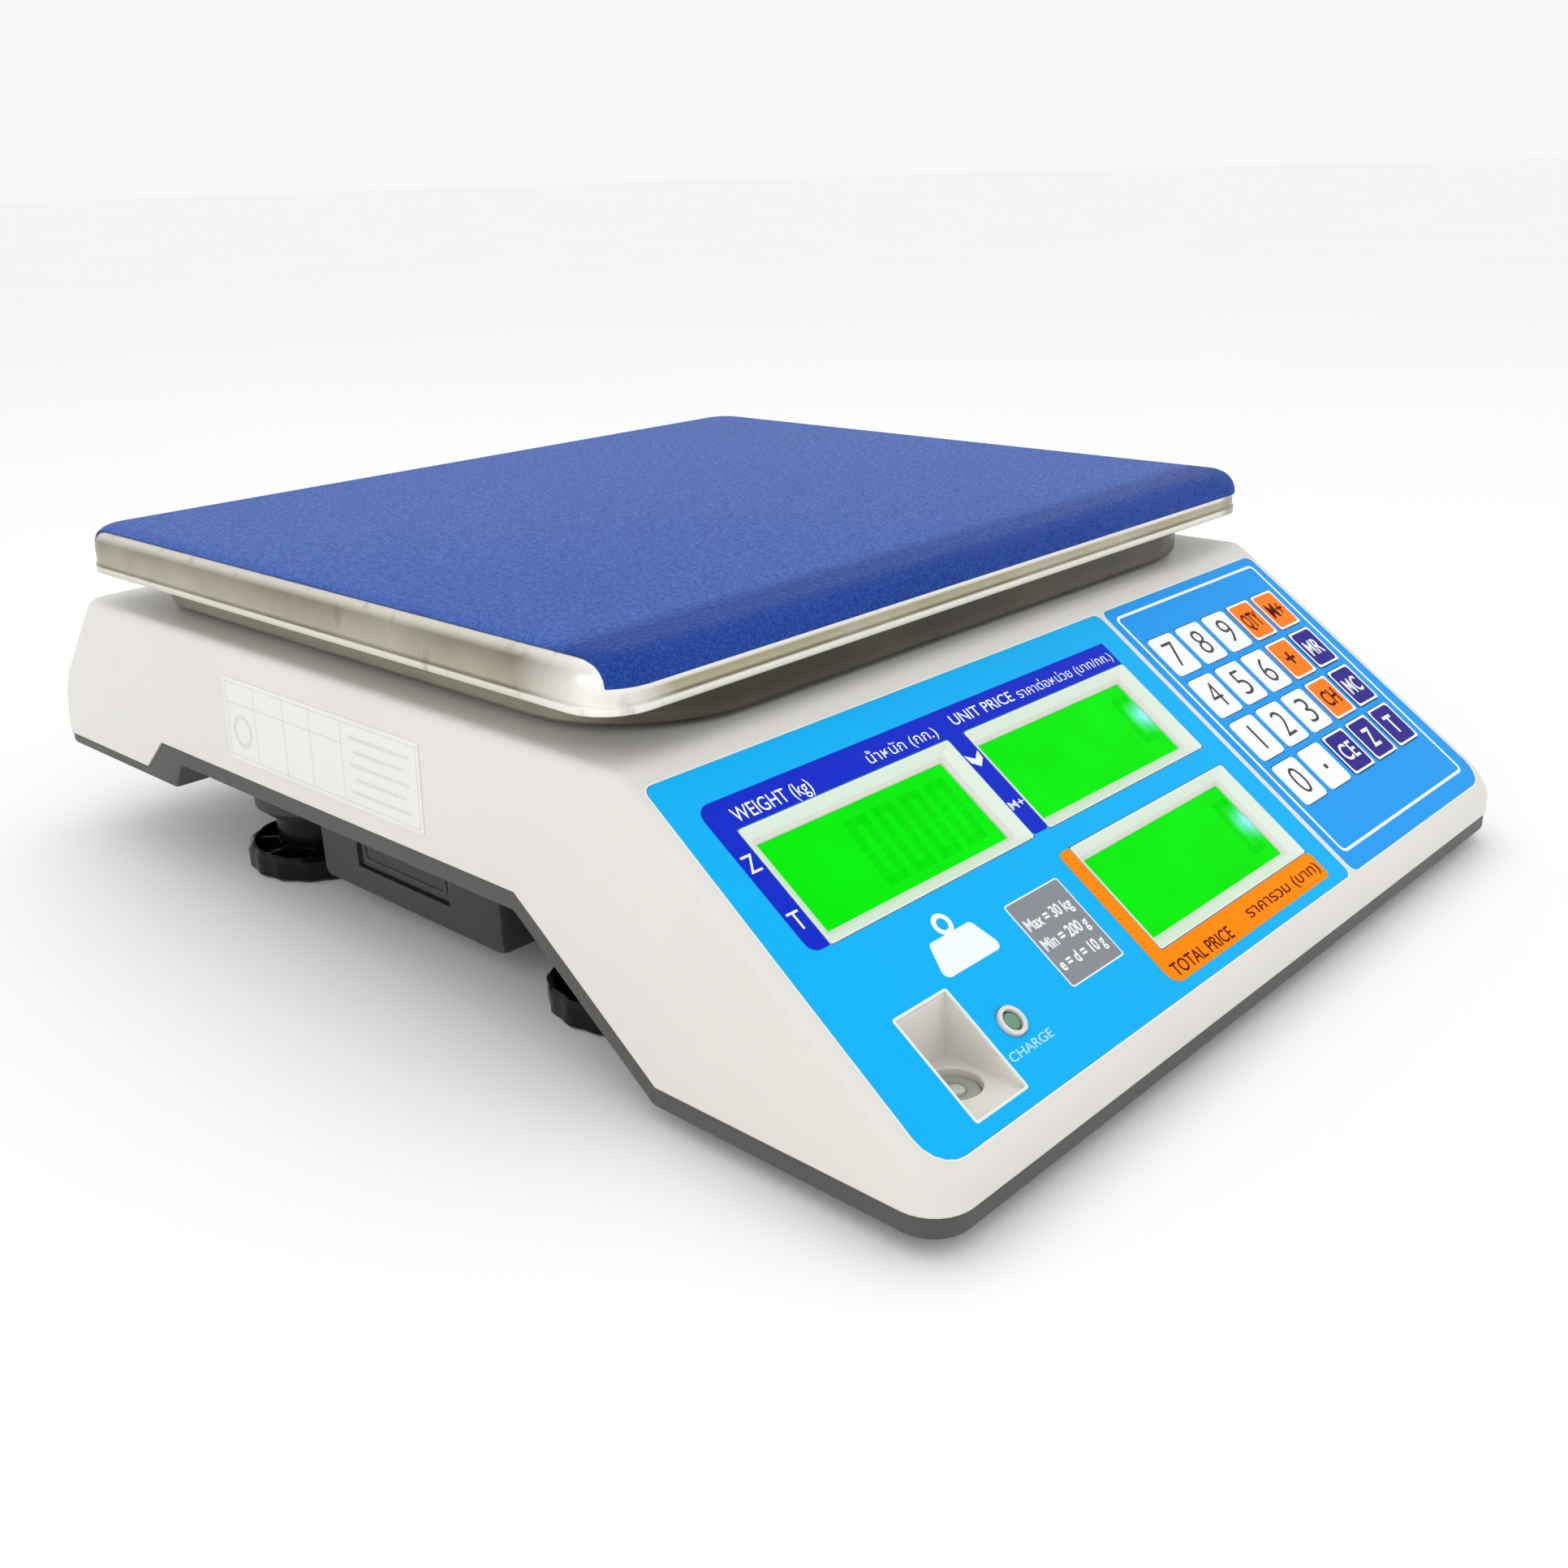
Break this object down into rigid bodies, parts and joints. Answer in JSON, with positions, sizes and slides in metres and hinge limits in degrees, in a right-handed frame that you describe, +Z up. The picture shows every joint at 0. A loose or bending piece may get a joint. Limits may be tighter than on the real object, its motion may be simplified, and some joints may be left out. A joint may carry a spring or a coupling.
{
  "type": "price computing scale",
  "caption": "Counter scale with a flat lift-off pan over a load cell, a sloped panel with displays and a keypad, a spirit level and screw feet.",
  "frame": {"origin": "on the ground under the middle of the overall box", "axes": "+Z up, the operator stands at -Y and looks along +Y, +X to the operator's right"},
  "size_m": [0.304, 0.3944, 0.1144],
  "materials": {
    "white_plastic": "moulded ABS, satin to low gloss",
    "grey_plastic": "moulded ABS, fine matt grain",
    "black_plastic": "moulded nylon, satin",
    "steel": "stainless sheet, satin",
    "aluminium": "machined, anodised",
    "zinc_steel": "zinc plated",
    "blue_film": "protective film, lightly pebbled",
    "sky_overlay": "printed polyester sheet, semi-gloss",
    "lcd_green": "backlit display, smooth",
    "board_green": "circuit board lacquer",
    "key_white": "printed polyester dome, semi-gloss",
    "key_orange": "printed polyester dome, semi-gloss",
    "key_navy": "printed polyester dome, semi-gloss",
    "rubber": "moulded, matt",
    "clear_acrylic": "clear tinted acrylic, polished",
    "battery_grey": "moulded case, satin"
  },
  "bodies": {
    "housing": {"upper_housing": "white_plastic", "lower_housing": "grey_plastic", "display_overlay": "sky_overlay", "keypad_overlay": "sky_overlay", "rear_overlay": "sky_overlay", "weight_lcd": "lcd_green", "unit_price_lcd": "lcd_green", "total_price_lcd": "lcd_green", "rear_display": "lcd_green", "display_board": "board_green", "keypad_board": "board_green", "main_board": "board_green", "load_cell": "aluminium", "load_cell_bolt_fixed_1": "zinc_steel", "load_cell_bolt_fixed_2": "zinc_steel", "base_frame": "zinc_steel", "power_inlet": "black_plastic", "level_vial": "clear_acrylic", "charge_led": "clear_acrylic", "led_bezel": "white_plastic", "battery": "battery_grey"},
    "load_carrier": {"pan_carrier": "steel", "pan_pad_front_left": "rubber", "pan_pad_front_right": "rubber", "pan_pad_rear_left": "rubber", "pan_pad_rear_right": "rubber", "load_cell_bolt_free_1": "zinc_steel", "load_cell_bolt_free_2": "zinc_steel"},
    "pan": {"weighing_pan": "steel", "pan_film": "blue_film"},
    "button_7": {"key_7": "key_white"},
    "button_8": {"key_8": "key_white"},
    "button_9": {"key_9": "key_white"},
    "button_quantity": {"key_quantity": "key_orange"},
    "button_memory_add": {"key_memory_add": "key_orange"},
    "button_4": {"key_4": "key_white"},
    "button_5": {"key_5": "key_white"},
    "button_6": {"key_6": "key_white"},
    "button_plus": {"key_plus": "key_orange"},
    "button_memory_recall": {"key_memory_recall": "key_navy"},
    "button_1": {"key_1": "key_white"},
    "button_2": {"key_2": "key_white"},
    "button_3": {"key_3": "key_white"},
    "button_change": {"key_change": "key_orange"},
    "button_memory_clear": {"key_memory_clear": "key_navy"},
    "button_0": {"key_0": "key_white"},
    "button_point": {"key_point": "key_white"},
    "button_clear": {"key_clear": "key_navy"},
    "button_zero": {"key_zero": "key_navy"},
    "button_tare": {"key_tare": "key_navy"},
    "stud_front_left": {"foot_stud_front_left": "black_plastic"},
    "knob_front_left": {"foot_knob_front_left": "black_plastic"},
    "stud_front_right": {"foot_stud_front_right": "black_plastic"},
    "knob_front_right": {"foot_knob_front_right": "black_plastic"},
    "stud_rear_left": {"foot_stud_rear_left": "black_plastic"},
    "knob_rear_left": {"foot_knob_rear_left": "black_plastic"},
    "stud_rear_right": {"foot_stud_rear_right": "black_plastic"},
    "knob_rear_right": {"foot_knob_rear_right": "black_plastic"},
    "rocker": {"power_switch": "black_plastic"},
    "door": {"battery_door": "grey_plastic"}
  },
  "joints": [
    {"name": "load_deflection", "type": "slide", "parent": "housing", "child": "load_carrier", "axis": [0, 0, 1], "range_m": [-0.00025, 0], "stiffness_N_per_m": 500000},
    {"name": "pan_lift", "type": "slide", "parent": "load_carrier", "child": "pan", "axis": [0, 0, 1], "range_m": [0, 0.06]},
    {"name": "press_7", "type": "slide", "parent": "housing", "child": "button_7", "axis": [0, 0.5807, -0.8141], "range_m": [0, 0.0005], "stiffness_N_per_m": 4000},
    {"name": "press_8", "type": "slide", "parent": "housing", "child": "button_8", "axis": [0, 0.5807, -0.8141], "range_m": [0, 0.0005], "stiffness_N_per_m": 4000},
    {"name": "press_9", "type": "slide", "parent": "housing", "child": "button_9", "axis": [0, 0.5807, -0.8141], "range_m": [0, 0.0005], "stiffness_N_per_m": 4000},
    {"name": "press_quantity", "type": "slide", "parent": "housing", "child": "button_quantity", "axis": [0, 0.5807, -0.8141], "range_m": [0, 0.0005], "stiffness_N_per_m": 4000},
    {"name": "press_memory_add", "type": "slide", "parent": "housing", "child": "button_memory_add", "axis": [0, 0.5807, -0.8141], "range_m": [0, 0.0005], "stiffness_N_per_m": 4000},
    {"name": "press_4", "type": "slide", "parent": "housing", "child": "button_4", "axis": [0, 0.5807, -0.8141], "range_m": [0, 0.0005], "stiffness_N_per_m": 4000},
    {"name": "press_5", "type": "slide", "parent": "housing", "child": "button_5", "axis": [0, 0.5807, -0.8141], "range_m": [0, 0.0005], "stiffness_N_per_m": 4000},
    {"name": "press_6", "type": "slide", "parent": "housing", "child": "button_6", "axis": [0, 0.5807, -0.8141], "range_m": [0, 0.0005], "stiffness_N_per_m": 4000},
    {"name": "press_plus", "type": "slide", "parent": "housing", "child": "button_plus", "axis": [0, 0.5807, -0.8141], "range_m": [0, 0.0005], "stiffness_N_per_m": 4000},
    {"name": "press_memory_recall", "type": "slide", "parent": "housing", "child": "button_memory_recall", "axis": [0, 0.5807, -0.8141], "range_m": [0, 0.0005], "stiffness_N_per_m": 4000},
    {"name": "press_1", "type": "slide", "parent": "housing", "child": "button_1", "axis": [0, 0.5807, -0.8141], "range_m": [0, 0.0005], "stiffness_N_per_m": 4000},
    {"name": "press_2", "type": "slide", "parent": "housing", "child": "button_2", "axis": [0, 0.5807, -0.8141], "range_m": [0, 0.0005], "stiffness_N_per_m": 4000},
    {"name": "press_3", "type": "slide", "parent": "housing", "child": "button_3", "axis": [0, 0.5807, -0.8141], "range_m": [0, 0.0005], "stiffness_N_per_m": 4000},
    {"name": "press_change", "type": "slide", "parent": "housing", "child": "button_change", "axis": [0, 0.5807, -0.8141], "range_m": [0, 0.0005], "stiffness_N_per_m": 4000},
    {"name": "press_memory_clear", "type": "slide", "parent": "housing", "child": "button_memory_clear", "axis": [0, 0.5807, -0.8141], "range_m": [0, 0.0005], "stiffness_N_per_m": 4000},
    {"name": "press_0", "type": "slide", "parent": "housing", "child": "button_0", "axis": [0, 0.5807, -0.8141], "range_m": [0, 0.0005], "stiffness_N_per_m": 4000},
    {"name": "press_point", "type": "slide", "parent": "housing", "child": "button_point", "axis": [0, 0.5807, -0.8141], "range_m": [0, 0.0005], "stiffness_N_per_m": 4000},
    {"name": "press_clear", "type": "slide", "parent": "housing", "child": "button_clear", "axis": [0, 0.5807, -0.8141], "range_m": [0, 0.0005], "stiffness_N_per_m": 4000},
    {"name": "press_zero", "type": "slide", "parent": "housing", "child": "button_zero", "axis": [0, 0.5807, -0.8141], "range_m": [0, 0.0005], "stiffness_N_per_m": 4000},
    {"name": "press_tare", "type": "slide", "parent": "housing", "child": "button_tare", "axis": [0, 0.5807, -0.8141], "range_m": [0, 0.0005], "stiffness_N_per_m": 4000},
    {"name": "foot_travel_front_left", "type": "slide", "parent": "housing", "child": "stud_front_left", "axis": [0, 0, 1], "range_m": [0, 0.0081]},
    {"name": "foot_turn_front_left", "type": "hinge", "parent": "stud_front_left", "child": "knob_front_left", "pos_m": [-0.11, -0.0575, 0.004], "axis": [0, 0, 1], "range_deg": [0, 2300]},
    {"name": "foot_travel_front_right", "type": "slide", "parent": "housing", "child": "stud_front_right", "axis": [0, 0, 1], "range_m": [0, 0.0081]},
    {"name": "foot_turn_front_right", "type": "hinge", "parent": "stud_front_right", "child": "knob_front_right", "pos_m": [0.11, -0.0575, 0.004], "axis": [0, 0, 1], "range_deg": [0, 2300]},
    {"name": "foot_travel_rear_left", "type": "slide", "parent": "housing", "child": "stud_rear_left", "axis": [0, 0, 1], "range_m": [0, 0.0081]},
    {"name": "foot_turn_rear_left", "type": "hinge", "parent": "stud_rear_left", "child": "knob_rear_left", "pos_m": [-0.11, 0.1008, 0.004], "axis": [0, 0, 1], "range_deg": [0, 2300]},
    {"name": "foot_travel_rear_right", "type": "slide", "parent": "housing", "child": "stud_rear_right", "axis": [0, 0, 1], "range_m": [0, 0.0081]},
    {"name": "foot_turn_rear_right", "type": "hinge", "parent": "stud_rear_right", "child": "knob_rear_right", "pos_m": [0.11, 0.1008, 0.004], "axis": [0, 0, 1], "range_deg": [0, 2300]},
    {"name": "switch_rock", "type": "hinge", "parent": "housing", "child": "rocker", "pos_m": [0.1258, 0.0449, 0.0425], "axis": [1, 0, 0], "range_deg": [0, 12]},
    {"name": "door_pull", "type": "slide", "parent": "housing", "child": "door", "axis": [-1, 0, 0], "range_m": [0, 0.03]}
  ],
  "couplings": [
    {"joint": "foot_travel_front_left", "follows": "foot_turn_front_left", "m_per_rad": 0.00019894},
    {"joint": "foot_travel_front_right", "follows": "foot_turn_front_right", "m_per_rad": 0.00019894},
    {"joint": "foot_travel_rear_left", "follows": "foot_turn_rear_left", "m_per_rad": 0.00019894},
    {"joint": "foot_travel_rear_right", "follows": "foot_turn_rear_right", "m_per_rad": 0.00019894}
  ]
}
